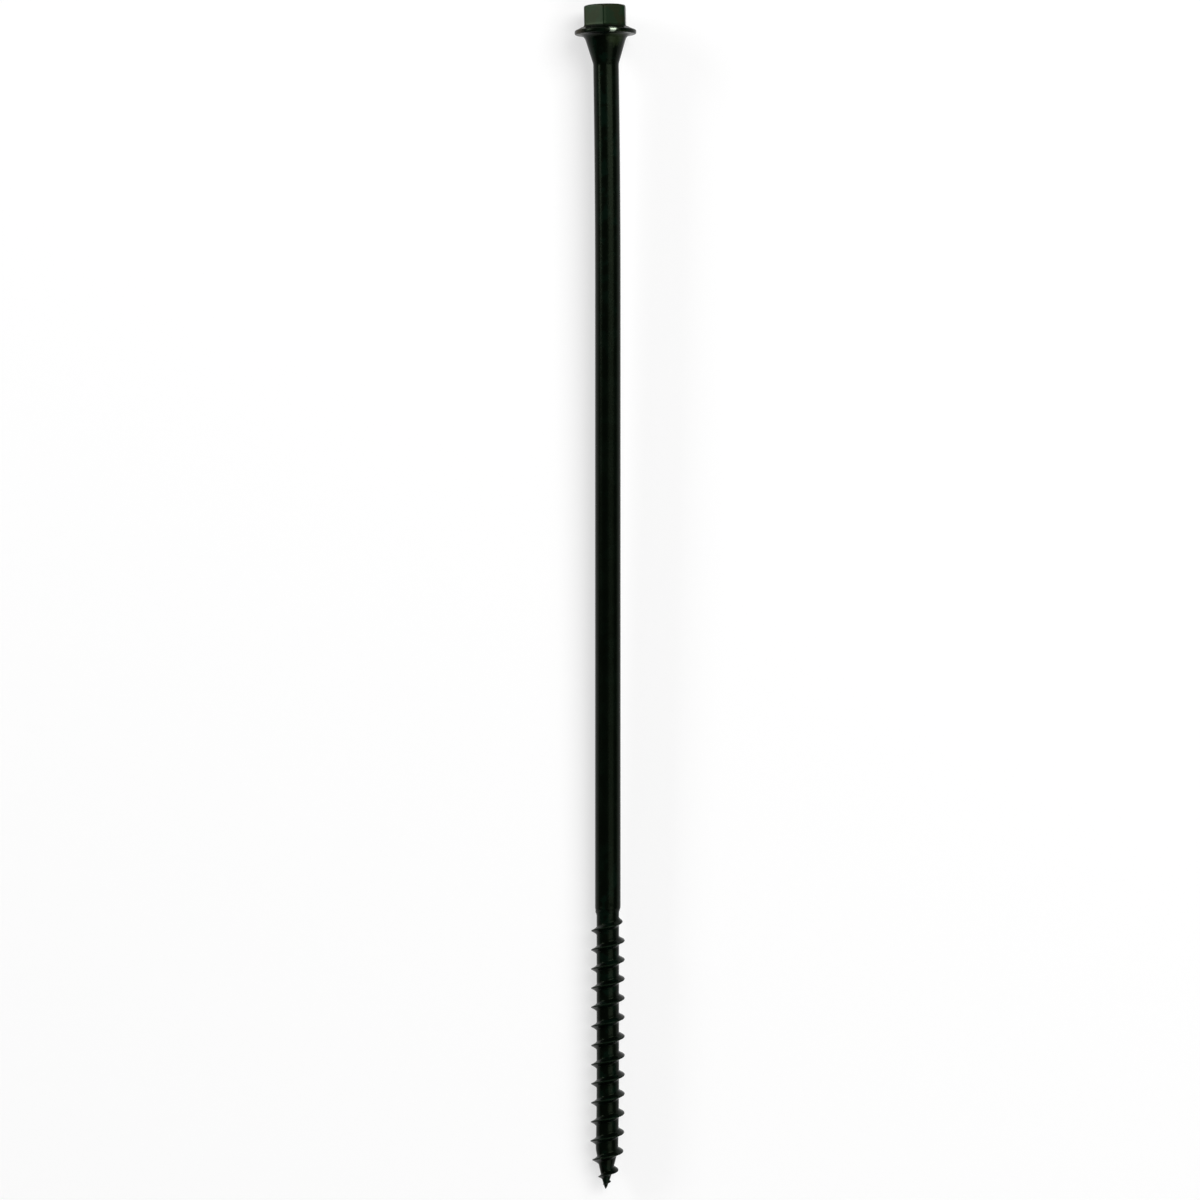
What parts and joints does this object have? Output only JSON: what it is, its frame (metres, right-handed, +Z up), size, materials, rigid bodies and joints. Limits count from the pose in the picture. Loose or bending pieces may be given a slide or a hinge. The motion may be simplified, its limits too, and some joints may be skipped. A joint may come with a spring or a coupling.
{
  "type": "timber screw",
  "caption": "Long timber screw with a hexagon flange head, a flared neck, a plain shank, a coarse rolled thread and a gimlet point, under a dark green-black coating.",
  "frame": {"origin": "the middle of the footprint of the screw's box, on the level surface that the screw lies on", "axes": "+X from the head to the tip, in the plan view the direction it is driven in, +Z up, +Y to the side"},
  "size_m": [0.2314, 0.012, 0.012],
  "materials": {
    "green_black_coating": "satin organic coating, green-black, over zinc-plated carbon steel"
  },
  "bodies": {
    "root": {"timber_screw": "green_black_coating"}
  },
  "joints": []
}
